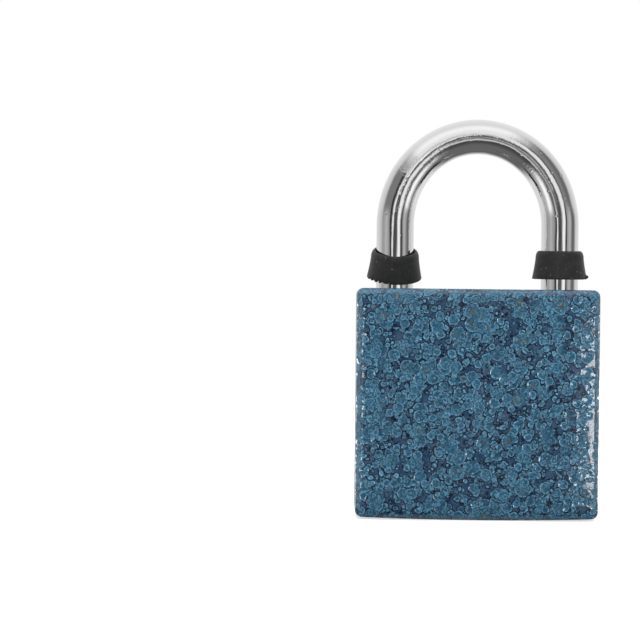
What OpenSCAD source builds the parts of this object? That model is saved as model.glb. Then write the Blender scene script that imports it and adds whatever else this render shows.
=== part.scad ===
// Pin tumbler padlock with an iron body and a round chromed shackle.
// Origin: centre of the body's bottom face. +X is the toe side, -Y the front face, +Z the shackle.
// It is drawn locked: the plug is at its home position and the bolt is in the shackle's notch.

/* [Body] */
// Width of the body, along X
body_w = 40; // [39:0.5:60]
// Thickness of the body, along Y
body_t = 18; // [16:0.5:30]
// Height of the body, along Z
body_h = 38; // [37.5:0.5:60]
// Radius of every outer edge of the body
edge_r = 1.6; // [0.6:0.1:2.4]
// Chamfer at the mouths of the two shackle bores and of the plug bore
mouth_chamfer = 0.4; // [0.1:0.1:0.8]

/* [Shackle] */
// Diameter of the shackle rod
shackle_d = 6.2; // [5.6:0.1:6.8]
// Distance from each side of the body to its leg's centreline
leg_inset = 6.3; // [5:0.1:6.5]
// Height of the arch's centre above the body
straight_h = 11.4; // [11:0.2:60]
// Depth of the short toe leg in the body
toe_depth = 7.7; // [7.4:0.1:9]
// Depth of the long heel leg in the body
heel_depth = 22; // [20:0.5:24]
// Rise of the shackle when the lock opens
lift = 8; // [7.8:0.1:9]
// Chamfer at the end of each leg
leg_chamfer = 0.8; // [0.3:0.1:1.2]
// Length of the head left under the heel leg's neck
heel_head = 4; // [2.5:0.5:5]
// Depth of the heel leg's neck below the rod's surface
neck_depth = 1; // [0.6:0.1:1.2]
// Diameter of the pin that holds the heel leg in
heel_pin_d = 2; // [1.6:0.1:2.4]

/* [Bolt] */
// Diameter of the round bolt
bolt_d = 5.8; // [5.4:0.1:6]
// Travel of the bolt when the plug turns by a quarter turn
throw = 4; // [3.8:0.1:4.2]
// Reach of the bolt's nose into the toe leg
nose_reach = 1; // [0.8:0.1:1.2]
// Depth of the notch in the toe leg
notch_depth = 1.3; // [1.3:0.1:1.6]
// Height of solid toe under the notch
toe_land = 1.9; // [1.5:0.1:2.2]
// Rise of the locked shackle before its notch meets the bolt
locked_play = 0.95; // [0.8:0.05:1.1]
// Bevel on top of the nose, which lets the toe push the bolt aside
nose_bevel = 1; // [0.6:0.1:1.2]
// Length of the bolt behind the plug's axis
bolt_tail = 4.6; // [4.2:0.1:4.8]
// Diameter of the cam pin that moves the bolt
cam_pin_d = 1.8; // [1.4:0.1:2]

/* [Plug] */
// Diameter of the brass plug
plug_d = 10; // [9.6:0.1:10.6]
// Depth of the plug's face below the bottom of the body
face_recess = 0.3; // [0.1:0.1:0.8]
// Width of the keyway
keyway_w = 2.3; // [1.8:0.1:2.6]
// Height of the keyway across the plug, for the blade of the key
keyway_h = 8.2; // [7.4:0.1:8.4]
// Depth of the round groove that the plug's retaining pin runs in
groove_depth = 1.1; // [0.8:0.1:1.3]
// Diameter of the plug's retaining pin
plug_pin_d = 1.8; // [1.4:0.1:2]

/* [Pins] */
// Number of pin stacks
pin_count = 5; // [3:1:5]
// Distance between two pin stacks
pin_pitch = 3.8; // [3.5:0.1:3.9]
// Height of the lowest pin stack above the bottom of the body
first_pin_z = 4.2; // [3.6:0.1:4.4]
// Diameter of the key pins and driver pins
pin_d = 2.9; // [2.4:0.1:3]
// Length of each key pin, from the lowest one up, as the cuts of the key ask
key_pin_l = [3.6, 2.4, 3.0, 2.1, 3.3]; // [2:0.1:3.8]
// Length of a driver pin
driver_l = 4.5; // [3.5:0.1:5.5]
// Length of the plugs that close the pin chambers
chamber_plug_l = 3.4; // [2.5:0.1:4]

/* [Springs] */
// Wire diameter of the pop-up spring under the heel leg
shackle_wire = 0.6; // [0.4:0.05:0.8]
// Wire diameter of the spring behind the bolt
bolt_wire = 0.4; // [0.3:0.05:0.5]
// Wire diameter of the springs behind the driver pins
pin_wire = 0.3; // [0.2:0.05:0.35]

/* [Collars] */
// Height of a rubber collar
collar_h = 4.7; // [4:0.1:5]
// Outer diameter of a collar at its shoulder
collar_top_d = 8; // [8:0.1:8.6]
// Outer diameter of a collar's flared lip
collar_lip_d = 9.3; // [9.2:0.1:10]
// Height of the right collar above the body
right_collar_gap = 1.7; // [0.3:0.05:1.8]
// Lean of the left collar toward the front, in degrees
left_lean = 11; // [0:0.5:12]
// Roll of the left collar toward the plug's side, in degrees
left_roll = 3; // [0:0.5:4]

/* [Clearances] */
// Radial clearance of the legs in their bores
leg_gap = 0.1; // [0.08:0.01:0.2]
// Radial clearance of the plug in its bore
plug_gap = 0.05; // [0.03:0.01:0.1]
// Radial clearance of the bolt in its channel
bolt_gap = 0.1; // [0.05:0.01:0.15]
// Radial clearance of the key pins and driver pins in their chambers
pin_gap = 0.1; // [0.05:0.01:0.12]
// Radial clearance of the pressed pins and plugs in their holes
press_gap = 0.01; // [0.005:0.005:0.02]
// Clearance of each spring inside its bore
spring_gap = 0.3; // [0.2:0.05:0.4]
// Clearance left where one piece stops against another
stop_gap = 0.05; // [0.03:0.01:0.1]
// Depth of the pressed ends below the painted faces
end_recess = 0.1; // [0.05:0.01:0.2]

/* [Hidden] */
$fn = 64;
cut = 0.5;                      // how far a cutting shape runs past the face that it opens

leg_x = body_w / 2 - leg_inset;
leg_r = shackle_d / 2;
leg_bore_r = leg_r + leg_gap;
arch_z = body_h + straight_h;

// Toe leg, its notch and the bolt, from the toe's end upward
toe_z = body_h - toe_depth;
toe_room = 1;                   // space for dirt under the toe
notch_z = toe_z + toe_land;
nose_z = notch_z + locked_play;
nose_drop = 0.15;               // height of the nose's flat underside above the bolt's axis
bolt_z = nose_z - nose_drop;
bolt_r = bolt_d / 2;
channel_r = bolt_r + bolt_gap;
notch_top_gap = 0.15;           // clearance above the nose in the notch
notch_top = bolt_z + bolt_r + notch_top_gap;
nose_tip_x = leg_x - leg_r + nose_reach;
shoulder_gap = 0.3;             // from the bolt's full round to the toe bore
shoulder_x = leg_x - leg_bore_r - shoulder_gap;
nose_flat = 0.2;                // reach of the nose before its lower bevel starts
bevel_margin = 0.15;            // clearance between nose and notch while both move
nose_rise = lift / throw * nose_reach - locked_play + bevel_margin;
channel_wall = 0.7;             // iron between the channel's blind end and the heel bore
channel_end_x = -leg_x + leg_bore_r + channel_wall;
seat_depth = 3.4;               // hole in the bolt's tail that takes its spring
seat_wall = 0.9;                // bolt metal round that hole
seat_r = bolt_r - seat_wall;

// Cam pin: it sweeps a quarter turn, 45 degrees to each side of the Y axis
cam_angle = 45;
cam_r = throw / 2 / cos(cam_angle);
cam_pin_r = cam_pin_d / 2;
yoke_gap = 0.15;                // clearance of the cam pin in the bolt's slot
cam_pin_seat = 2.6;             // depth of the cam pin in the plug
cam_pin_drop = 0.7;             // from the bolt's axis down to the cam pin's end
cam_pin_top = bolt_z - cam_pin_drop;
slot_room = 0.3;                // space in the bolt's slot above the cam pin
slot_top = cam_pin_top + slot_room;
sweep_gap = 0.45;               // clearance round the cam pin's sweep
cam_bore_r = cam_r + cam_pin_r + sweep_gap;

// Plug
plug_r = plug_d / 2;
plug_bore_r = plug_r + plug_gap;
roof = 3.4;                     // from the plug's top to the bolt's channel
plug_top = bolt_z - channel_r - roof;
plug_end_gap = 0.2;             // space above the plug
groove_drop = 4.05;             // from the plug's top to the middle of its groove
groove_z = plug_top - groove_drop;
groove_r = plug_r - groove_depth;
groove_side_gap = 0.15;         // clearance of the pin in the groove, above and below
plug_pin_r = plug_pin_d / 2;
groove_h = plug_pin_d + 2 * groove_side_gap;
plug_pin_x = -(groove_r + plug_pin_r + leg_gap);
keyway_back = 4.3;              // from the plug's axis to the keyway's blind side
keyway_roof = 0.3;              // brass between the keyway's end and the groove
keyway_top = groove_z - groove_h / 2 - keyway_roof;
ward_w = 1;                     // rib along the keyway that only its own key blank clears
ward_h = 0.6;                   // how far the rib stands into the keyway
ward_x = -1.2;                  // side of the rib that is away from the pins

// Pin stacks
pin_r = pin_d / 2;
chamber_r = pin_r + pin_gap;
shear_gap = 0.03;               // from the plug's surface to the pins on both sides of it
key_pin_x = sqrt(pow(plug_r, 2) - pow(pin_r, 2)) - shear_gap;
driver_x = plug_r + shear_gap;
chamber_floor_x = -0.6;         // where the drilled chambers end inside the plug
pin_tip_r = 0.5;                // flat end of a key pin's taper
pin_tip_l = 0.9;                // length of that taper
pin_end_chamfer = 0.25;         // chamfer of a driver pin under its spring
side_end_x = body_w / 2 - end_recess;
chamber_plug_x = side_end_x - chamber_plug_l;

// Heel leg, its neck and its retaining pin, from the heel's end upward
heel_z = body_h - heel_depth;
neck_z = heel_z + heel_head;
heel_pin_r = heel_pin_d / 2;
neck_r = leg_r - neck_depth;
heel_pin_x = -leg_x - neck_r - heel_pin_r - leg_gap;
heel_pin_z = neck_z + lift + stop_gap + heel_pin_r;
neck_end_gap = 0.25;            // clearance above the retaining pin while closed
neck_top = heel_pin_z + heel_pin_r + neck_end_gap;
spring_room = 10;               // height of the pop-up spring while the lock is closed
heel_floor = heel_z - spring_room;
cross_pin_front = -5;           // front end of the two cross pins, which enter from the back
back_end_y = body_t / 2 - end_recess;

// Collars
collar_lip_r = collar_lip_d / 2;
collar_top_r = collar_top_d / 2;
collar_lip_h = 0.6;             // height of the straight band at the lip
collar_shoulder = 0.5;          // size of the rounding at the shoulder
collar_slack = 0.35;            // radial slack on the leg at the shoulder
collar_bell = 0.5;              // how much wider the bore is at the lip
collar_bore_top = leg_r + collar_slack;
collar_bore_lip = collar_bore_top + collar_bell;
collar_pivot = 0.7 * collar_h;  // height of the point that the left collar leans about
left_tilt = acos(cos(left_lean) * cos(left_roll));
left_collar_gap = 0.35;         // from the left collar's lowest point to the body
left_collar_z = body_h + left_collar_gap + collar_lip_r * sin(left_tilt);

function pin_z(i) = first_pin_z + (i - 1) * pin_pitch;

// A rectangle with rounded corners
module rounded_rect(w, h, r) {
    square([w - 2 * r, h], center = true);
    square([w, h - 2 * r], center = true);
    for (x = [-1, 1], y = [-1, 1])
        translate([x * (w / 2 - r), y * (h / 2 - r)]) circle(r);
}

// A box whose twelve edges are round, standing on z = 0
module rounded_box(w, t, h, r) {
    translate([0, 0, h / 2])
        intersection() {
            linear_extrude(h, center = true) rounded_rect(w, t, r);
            rotate([90, 0, 0]) linear_extrude(t, center = true) rounded_rect(w, h, r);
            rotate([90, 0, 90]) linear_extrude(w, center = true) rounded_rect(t, h, r);
        }
}

// A cylinder along +X that starts at x
module rod_x(x, z, r, l) {
    translate([x, 0, z]) rotate([0, 90, 0]) cylinder(r = r, h = l);
}

// A cylinder along Y between two ends
module rod_y(x, z, r, front, back) {
    translate([x, back, z]) rotate([90, 0, 0]) cylinder(r = r, h = back - front);
}

// A bore that opens upward through z = top, with a chamfered mouth
module top_bore(x, floor_z, top, r) {
    translate([x, 0, floor_z]) cylinder(r = r, h = top - floor_z + cut);
    translate([x, 0, top - mouth_chamfer]) cylinder(r1 = r, r2 = r + mouth_chamfer + cut, h = mouth_chamfer + cut);
}

// A round leg that hangs from the arch's height down to z, with a chamfered end
module leg(x, z) {
    translate([x, 0, z]) cylinder(r1 = leg_r - leg_chamfer, r2 = leg_r, h = leg_chamfer);
    translate([x, 0, z + leg_chamfer]) cylinder(r = leg_r, h = arch_z - z - leg_chamfer);
}

// A helical spring along +Z from z = 0, with its wire swept as a six-sided tube
module coil(outer_r, wire_d, length, turns) {
    sides = 6;
    steps = 14;
    wire_r = wire_d / 2;
    coil_r = outer_r - wire_r;
    rings = turns * steps;
    points = [
        for (i = [0 : rings], k = [0 : sides - 1])
            let (
                turn = 360 * i / steps,
                side = 360 * k / sides,
                z = wire_r + (length - wire_d) * i / rings,
                r = coil_r + wire_r * cos(side)
            )
            [r * cos(turn), r * sin(turn), z + wire_r * sin(side)]
    ];
    faces = [
        [for (k = [0 : sides - 1]) k],
        [for (k = [0 : sides - 1]) rings * sides + sides - 1 - k],
        for (i = [0 : rings - 1], k = [0 : sides - 1])
            let (a = i * sides + k, b = i * sides + (k + 1) % sides)
            [a, a + sides, b + sides, b]
    ];
    polyhedron(points = points, faces = faces, convexity = 10);
}

// Cast iron body: everything inside it is drilled from below, from above or from the sides
module body() {
    color("#3f5e74")
        difference() {
            rounded_box(body_w, body_t, body_h, edge_r);
            top_bore(leg_x, toe_z - toe_room, body_h, leg_bore_r);
            top_bore(-leg_x, heel_floor, body_h, leg_bore_r);
            mirror([0, 0, 1]) top_bore(0, -plug_top - plug_end_gap, 0, plug_bore_r);
            cylinder(r = cam_bore_r, h = slot_top + plug_end_gap);
            rod_x(channel_end_x, bolt_z, channel_r, body_w / 2 - channel_end_x + cut);
            for (i = [1 : pin_count])
                rod_x(0, pin_z(i), chamber_r, body_w / 2 + cut);
            rod_y(plug_pin_x, groove_z, plug_pin_r + press_gap, cross_pin_front - stop_gap, body_t / 2 + cut);
            rod_y(heel_pin_x, heel_pin_z, heel_pin_r + press_gap, cross_pin_front - stop_gap, body_t / 2 + cut);
        }
}

// Chromed shackle: long heel leg at -X with a neck, short toe leg at +X with a notch
module shackle() {
    color("silver")
        difference() {
            union() {
                leg(leg_x, toe_z);
                leg(-leg_x, heel_z);
                translate([0, 0, arch_z]) rotate([90, 0, 0]) rotate_extrude(angle = 180)
                    translate([leg_x, 0]) circle(leg_r);
            }
            translate([leg_x - leg_r - cut, -leg_r - cut, notch_z])
                cube([notch_depth + cut, shackle_d + 2 * cut, notch_top - notch_z]);
            translate([-leg_x, 0, neck_z])
                difference() {
                    cylinder(r = leg_r + cut, h = neck_top - neck_z);
                    cylinder(r = neck_r, h = neck_top - neck_z);
                }
        }
}

// Moulded rubber collar, flared at its lip, on the axis and standing on z = 0
module collar() {
    rotate_extrude()
        polygon([
            [collar_bore_lip, 0],
            [collar_lip_r, 0],
            [collar_lip_r, collar_lip_h],
            [(collar_lip_r + collar_top_r) / 2, collar_h / 2],
            [collar_top_r, collar_h - 2 * collar_shoulder],
            [collar_top_r - collar_shoulder / 4, collar_h - collar_shoulder / 2],
            [collar_top_r - collar_shoulder / 2, collar_h],
            [collar_bore_top, collar_h]
        ]);
}

// Left collar: slack on its leg, so it leans to the front until its lip nears the body
module collar_left() {
    color("#2f2f2f")
        translate([-leg_x, 0, left_collar_z + collar_pivot])
            rotate([left_lean, left_roll, 0])
                translate([0, 0, -collar_pivot]) collar();
}

// Right collar: square on its leg, a little above the body
module collar_right() {
    color("#333333")
        translate([leg_x, 0, body_h + right_collar_gap]) collar();
}

// Pop-up spring under the heel leg
module shackle_spring() {
    color("slategray")
        translate([-leg_x, 0, heel_floor + stop_gap])
            coil(leg_bore_r - spring_gap, shackle_wire, spring_room - 2 * stop_gap, 8);
}

// Cross pin beside the heel leg's neck, which stops the leg's head
module heel_retaining_pin() {
    color("dimgray") rod_y(heel_pin_x, heel_pin_z, heel_pin_r, cross_pin_front, back_end_y);
}

// Spring bolt: a round rod with a half-round bevelled nose, a cam slot and a spring seat
module bolt() {
    color("darkgoldenrod")
        difference() {
            rod_x(-bolt_tail, bolt_z, bolt_r, bolt_tail + nose_tip_x);
            translate([shoulder_x, -bolt_d, bolt_z - bolt_d])
                cube([2 * leg_x, 2 * bolt_d, bolt_d + nose_drop]);
            translate([0, bolt_d, nose_z]) rotate([90, 0, 0])
                linear_extrude(2 * bolt_d)
                    polygon([
                        [nose_tip_x - nose_reach + nose_flat, -cut],
                        [nose_tip_x - nose_reach + nose_flat, 0],
                        [nose_tip_x, nose_rise],
                        [nose_tip_x + cut, nose_rise],
                        [nose_tip_x + cut, -cut]
                    ]);
            translate([0, bolt_d, bolt_z + bolt_r]) rotate([90, 0, 0])
                linear_extrude(2 * bolt_d)
                    polygon([
                        [nose_tip_x - nose_bevel - cut, cut],
                        [nose_tip_x + cut, -nose_bevel - cut],
                        [nose_tip_x + cut, cut]
                    ]);
            translate([throw / 2 - cam_pin_r - yoke_gap, -bolt_d, bolt_z - bolt_d])
                cube([cam_pin_d + 2 * yoke_gap, 2 * bolt_d, slot_top - bolt_z + bolt_d]);
            rod_x(-bolt_tail - cut, bolt_z, seat_r, seat_depth + cut);
        }
}

// Spring between the channel's blind end and the seat in the bolt's tail
module bolt_spring() {
    color("slategray")
        translate([channel_end_x + stop_gap, 0, bolt_z]) rotate([0, 90, 0])
            coil(seat_r - spring_gap / 2, bolt_wire, seat_depth - bolt_tail - channel_end_x - 2 * stop_gap, 8);
}

// Plug that closes the bolt's channel beyond the toe bore
module bolt_channel_plug() {
    inner_x = leg_x + leg_bore_r + plug_end_gap;
    color("dimgray") rod_x(inner_x, bolt_z, channel_r - press_gap, side_end_x - inner_x);
}

// Brass plug with the keyway, the pin chambers and the groove of its retaining pin
module plug() {
    color("gold")
        difference() {
            translate([0, 0, face_recess]) cylinder(r = plug_r, h = plug_top - face_recess);
            difference() {
                translate([-keyway_back, -keyway_w / 2, face_recess - cut])
                    cube([keyway_h, keyway_w, keyway_top - face_recess + cut]);
                translate([ward_x, keyway_w / 2 - ward_h, face_recess - 2 * cut])
                    cube([ward_w, ward_h + cut, keyway_top]);
            }
            for (i = [1 : pin_count])
                rod_x(chamber_floor_x, pin_z(i), chamber_r, plug_d);
            translate([0, 0, groove_z - groove_h / 2])
                difference() {
                    cylinder(r = plug_r + cut, h = groove_h);
                    cylinder(r = groove_r, h = groove_h);
                }
            rotate(cam_angle) translate([cam_r, 0, plug_top - cam_pin_seat])
                cylinder(r = cam_pin_r + press_gap, h = cam_pin_seat + cut);
        }
}

// Steel cam pin pressed off-centre into the top of the plug
module cam_pin() {
    foot_z = plug_top - cam_pin_seat + stop_gap;
    color("silver")
        rotate(cam_angle) translate([cam_r, 0, foot_z]) cylinder(r = cam_pin_r, h = cam_pin_top - foot_z);
}

// Cross pin in the plug's groove
module plug_retaining_pin() {
    color("dimgray") rod_y(plug_pin_x, groove_z, plug_pin_r, cross_pin_front, back_end_y);
}

// Key pin: its tapered tip points at the key, and its other end stops at the shear line
module key_pin(i) {
    tip_x = key_pin_x - key_pin_l[i - 1];
    color("goldenrod")
        translate([tip_x, 0, pin_z(i)]) rotate([0, 90, 0]) {
            cylinder(r1 = pin_tip_r, r2 = pin_r, h = pin_tip_l);
            translate([0, 0, pin_tip_l]) cylinder(r = pin_r, h = key_pin_l[i - 1] - pin_tip_l);
        }
}

// Driver pin: it starts at the shear line and is pushed by its spring
module driver_pin(i) {
    color("silver")
        translate([driver_x, 0, pin_z(i)]) rotate([0, 90, 0]) {
            cylinder(r = pin_r, h = driver_l - pin_end_chamfer);
            translate([0, 0, driver_l - pin_end_chamfer])
                cylinder(r1 = pin_r, r2 = pin_r - pin_end_chamfer, h = pin_end_chamfer);
        }
}

// Spring between a driver pin and its chamber plug
module pin_spring(i) {
    start_x = driver_x + driver_l + stop_gap;
    color("slategray")
        translate([start_x, 0, pin_z(i)]) rotate([0, 90, 0])
            coil(chamber_r - spring_gap / 2, pin_wire, chamber_plug_x - stop_gap - start_x, 6);
}

// Plug pressed into the mouth of a pin chamber
module chamber_plug(i) {
    color("peru") rod_x(chamber_plug_x, pin_z(i), chamber_r - press_gap, chamber_plug_l);
}

body();
shackle();
collar_left();
collar_right();
shackle_spring();
heel_retaining_pin();
bolt();
bolt_spring();
bolt_channel_plug();
plug();
cam_pin();
plug_retaining_pin();
for (i = [1 : pin_count]) {
    key_pin(i);
    driver_pin(i);
    pin_spring(i);
    chamber_plug(i);
}
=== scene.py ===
import math

import bmesh
import bpy
import numpy as np
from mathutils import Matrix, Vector


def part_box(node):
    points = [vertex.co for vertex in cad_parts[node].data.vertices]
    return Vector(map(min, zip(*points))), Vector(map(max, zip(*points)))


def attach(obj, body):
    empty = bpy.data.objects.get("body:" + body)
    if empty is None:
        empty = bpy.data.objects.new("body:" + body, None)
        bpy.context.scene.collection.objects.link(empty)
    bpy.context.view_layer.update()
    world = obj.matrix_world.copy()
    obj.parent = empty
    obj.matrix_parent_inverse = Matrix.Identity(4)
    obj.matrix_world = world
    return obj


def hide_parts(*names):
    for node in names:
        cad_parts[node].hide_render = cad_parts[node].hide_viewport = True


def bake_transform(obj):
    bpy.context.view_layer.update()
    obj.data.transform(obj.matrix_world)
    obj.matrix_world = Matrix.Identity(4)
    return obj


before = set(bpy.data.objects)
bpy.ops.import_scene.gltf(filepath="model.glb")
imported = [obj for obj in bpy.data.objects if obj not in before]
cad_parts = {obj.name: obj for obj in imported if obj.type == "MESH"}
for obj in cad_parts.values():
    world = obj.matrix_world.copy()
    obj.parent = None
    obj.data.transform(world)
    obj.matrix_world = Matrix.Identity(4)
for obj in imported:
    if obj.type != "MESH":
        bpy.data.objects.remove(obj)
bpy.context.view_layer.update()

# ---------------------------------------------------------------------------------------------
# Body: a square cast iron block with soft edges, drilled for the shackle from above and for the
# plug from below, then sprayed all over with blue hammer-finish paint.
# ---------------------------------------------------------------------------------------------
MM = 0.001
body_low, body_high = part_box("body")
half_wide = (body_high.x - body_low.x) / 2
half_deep = (body_high.y - body_low.y) / 2
body_tall = body_high.z - body_low.z
edge_round = 1.6 * MM           # along the front and back faces
side_round = 1.15 * MM          # round the outline, as seen from the front
face_roll = 0.85 * MM           # the front face falls away by this much at its two sides
face_roll_wide = 6.5 * MM       # over this width
end_roll_share = 0.6            # its top and bottom fall away by this share of that
back_roll_share = 0.4           # and the back face by this share of the front's
bottom_bow = 0.35 * MM          # the underside's corners stand this much higher than its middle
bottom_bow_tall = 6 * MM        # up to this height
rod_r = 3.1 * MM
leg_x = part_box("shackle")[1].x - rod_r
bore_r = 3.2 * MM
bore_mouth = 0.4 * MM           # countersink at the mouth of the shackle's two bores
heel_floor_z = 6.0 * MM
toe_floor_z = 29.3 * MM
plug_bore_r = 5.05 * MM
plug_bore_z = 26.8 * MM
cam_bore_r = 4.18 * MM
cam_bore_z = 32.8 * MM


def surface(name, grids, sharp=0.6):
    """One closed mesh from grids of points. A grid is (rows, columns, xyz); four neighbours make a face.
    Points that coincide are merged, so poles and seams close, and every face is turned outwards. Edges
    that turn by more than sharp radians stay crisp."""
    points, quads, start = [], [], 0
    for grid in grids:
        rows, columns = grid.shape[:2]
        index = start + np.arange(rows * columns).reshape(rows, columns)
        corners = (index[:-1, :-1], index[:-1, 1:], index[1:, 1:], index[1:, :-1])
        quads.append(np.stack(corners, -1).reshape(-1, 4))
        points.append(grid.reshape(-1, 3))
        start += rows * columns
    mesh = bpy.data.meshes.new(name)
    mesh.from_pydata(np.concatenate(points).tolist(), [], np.concatenate(quads).tolist())
    weld = 0.0005 * MM
    work = bmesh.new()
    work.from_mesh(mesh)
    bmesh.ops.remove_doubles(work, verts=work.verts, dist=weld)
    bmesh.ops.dissolve_degenerate(work, edges=work.edges, dist=weld)
    bmesh.ops.recalc_face_normals(work, faces=work.faces)
    if work.calc_volume(signed=True) < 0:
        bmesh.ops.reverse_faces(work, faces=work.faces)
    work.to_mesh(mesh)
    work.free()
    mesh.shade_smooth()
    mesh.set_sharp_from_angle(angle=sharp)
    piece = bpy.data.objects.new(name, mesh)
    bpy.context.scene.collection.objects.link(piece)
    return piece


def rim_loop(along_x, along_y):
    """Corners of a rectangle's edge, walked from the front left corner anticlockwise as seen from above:
    even steps along each side, as points (x, y) between -1 and 1."""
    front = np.stack([np.linspace(-1, 1, along_x + 1), np.full(along_x + 1, -1.0)], 1)
    right = np.stack([np.full(along_y + 1, 1.0), np.linspace(-1, 1, along_y + 1)], 1)
    return front, right, -front, -right


def belt(steps_x, steps_y, steps_z, steps_round):
    """The block's four sides with their rounded edges: a rectangle's outline pushed outwards by
    radius x sin(tilt) and up or down by radius x cos(tilt), the tilt going from -90 to 90 degrees."""
    core = np.array([half_wide - side_round, half_deep - edge_round])
    sides = rim_loop(steps_x, steps_y)
    turn = np.linspace(0, math.pi / 2, steps_round + 1)
    outline, normal = [], []
    for number, side in enumerate(sides):
        facing = -math.pi / 2 + number * math.pi / 2
        out = np.array([math.cos(facing), math.sin(facing)])
        outline.append(side * core)
        normal.append(np.broadcast_to(out, side.shape))
        corner = facing + turn
        outline.append(np.broadcast_to(side[-1] * core, (len(turn), 2)))
        normal.append(np.stack([np.cos(corner), np.sin(corner)], 1))
    outline, normal = np.concatenate(outline), np.concatenate(normal)
    tilt = np.linspace(0, math.pi / 2, steps_round + 1)
    reach = np.concatenate([np.sin(tilt), np.ones(steps_z - 1), np.cos(tilt)])
    radii = np.array([side_round, edge_round])
    flat = outline[None] + reach[:, None, None] * normal[None] * radii
    edge = (normal ** 2 @ radii)[None]
    low = edge * (1 - np.cos(tilt))[:, None]
    share = np.linspace(0, 1, steps_z + 1)[1:-1, None]
    middle = edge + (body_tall - 2 * edge) * share
    height = np.concatenate([low, middle, body_tall - low[::-1]])
    return np.concatenate([flat, height[..., None]], 2)


def drilled_face(outline, centre, profile, rings):
    """A flat face with a round hole in it. Straight lines run from the outline to the hole's mouth, at the
    angle at which each outline point stands; from there the wall follows profile, a list of (radius, z).
    The rings stand a little closer at the mouth."""
    wall_step = 1.5 * MM
    ring_power = 0.8
    away = outline - centre
    angle = np.arctan2(away[:, 1], away[:, 0])
    around = np.stack([np.cos(angle), np.sin(angle)], 1)
    share = np.linspace(0, 1, rings + 1) ** ring_power
    mouth = centre + profile[0][0] * around
    flat = outline[None] * (1 - share)[:, None, None] + mouth[None] * share[:, None, None]
    face = np.concatenate([flat, np.full(flat.shape[:2] + (1,), profile[0][1])], 2)
    walls = []
    for (r0, z0), (r1, z1) in zip(profile[:-1], profile[1:]):
        count = 1 + int(abs(z1 - z0) / wall_step)
        part = np.linspace(0, 1, count + 1)[1:]
        r, z = r0 + (r1 - r0) * part, z0 + (z1 - z0) * part
        ring = centre + r[:, None, None] * around[None]
        walls.append(np.concatenate([ring, np.broadcast_to(z[:, None, None], ring.shape[:2] + (1,))], 2))
    return np.concatenate([face] + walls)


def smooth_step(value, start, end):
    """0 before start, 1 after end, and 3t^2 - 2t^3 between them."""
    t = np.clip((value - start) / (end - start), 0, 1)
    return t * t * (3 - 2 * t)


def body_outline(x_from, x_to, steps_x, steps_y):
    """The core rectangle's edge between two x places, anticlockwise, closed."""
    core_y = half_deep - edge_round
    x = np.linspace(x_from, x_to, steps_x + 1)
    y = np.linspace(-core_y, core_y, steps_y + 1)
    front = np.stack([x, np.full_like(x, -core_y)], 1)
    right = np.stack([np.full_like(y, x_to), y], 1)
    left = np.stack([np.full_like(y, x_from), y[::-1]], 1)
    back = np.stack([x[::-1], np.full_like(x, core_y)], 1)
    return np.concatenate([front, right, back, left])


def cast_body():
    """Sides, two drilled halves of the top and the drilled underside, then the soft hang of the cast:
    the front and back sink towards their rims by closeness to the power 2.2, over a width that grows
    downwards, and the underside bows up at its corners by the square of x."""
    steps_x, steps_y, steps_z, steps_round = 96, 36, 84, 8
    roll_power = 2.2
    roll_from, roll_full = half_deep - 3 * MM, half_deep - 0.2 * MM      # it fades in over this depth
    core_x = half_wide - side_round
    bore = [(bore_r + bore_mouth, body_tall), (bore_r, body_tall - bore_mouth)]
    heel = bore + [(bore_r, heel_floor_z), (0.0, heel_floor_z)]
    toe = bore + [(bore_r, toe_floor_z), (0.0, toe_floor_z)]
    plug = [(plug_bore_r, 0.0), (plug_bore_r, plug_bore_z), (cam_bore_r, plug_bore_z),
            (cam_bore_r, cam_bore_z), (0.0, cam_bore_z)]
    grids = [
        belt(steps_x, steps_y, steps_z, steps_round),
        drilled_face(body_outline(-core_x, 0, steps_x // 2, steps_y), (-leg_x, 0), heel, rings=10),
        drilled_face(body_outline(0, core_x, steps_x // 2, steps_y), (leg_x, 0), toe, rings=10),
        drilled_face(body_outline(-core_x, core_x, steps_x, steps_y), (0, 0), plug, rings=14),
    ]
    for grid in grids:
        x, y, z = grid[..., 0].copy(), grid[..., 1].copy(), grid[..., 2].copy()
        wide = face_roll_wide * (1.2 - 0.4 * z / body_tall)      # 1.2 times at the bottom, 0.8 at the top
        from_end = body_tall / 2 - np.abs(z - body_tall / 2)
        to_side = np.clip(1 - (half_wide - np.abs(x)) / wide, 0, 1) ** roll_power
        to_end = np.clip(1 - from_end / face_roll_wide, 0, 1) ** roll_power
        near_face = smooth_step(np.abs(y), roll_from, roll_full)
        share = np.where(y < 0, 1.0, back_roll_share) * near_face
        grid[..., 1] = y - np.sign(y) * share * face_roll * (to_side + end_roll_share * to_end)
        low = 1 - smooth_step(z, 0, bottom_bow_tall)
        grid[..., 2] = z + bottom_bow * low * (x / half_wide) ** 2
    return surface("body_casting", grids)


def linear(code, alpha=1.0):
    """A colour written as sRGB hex, as linear light: ((v + 0.055) / 1.055)^2.4, or v / 12.92 if dark."""
    value = np.array([int(code[i:i + 2], 16) for i in (0, 2, 4)]) / 255
    light = np.where(value <= 0.04045, value / 12.92, ((value + 0.055) / 1.055) ** 2.4)
    return (*light.tolist(), alpha)


def new_material(name):
    """An empty material with its node tree."""
    material = bpy.data.materials.new(name)
    material.use_nodes = True
    material.node_tree.nodes.clear()
    return material, material.node_tree


def node(tree, kind, links=None, **settings):
    """Adds a node, sets its properties, and gives each socket, by name or number, its value or its link."""
    made = tree.nodes.new(kind)
    for name, value in settings.items():
        setattr(made, name, value)
    for key, value in (links or {}).items():
        if isinstance(value, bpy.types.NodeSocket):
            tree.links.new(value, made.inputs[key])
        else:
            made.inputs[key].default_value = value
    return made


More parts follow.
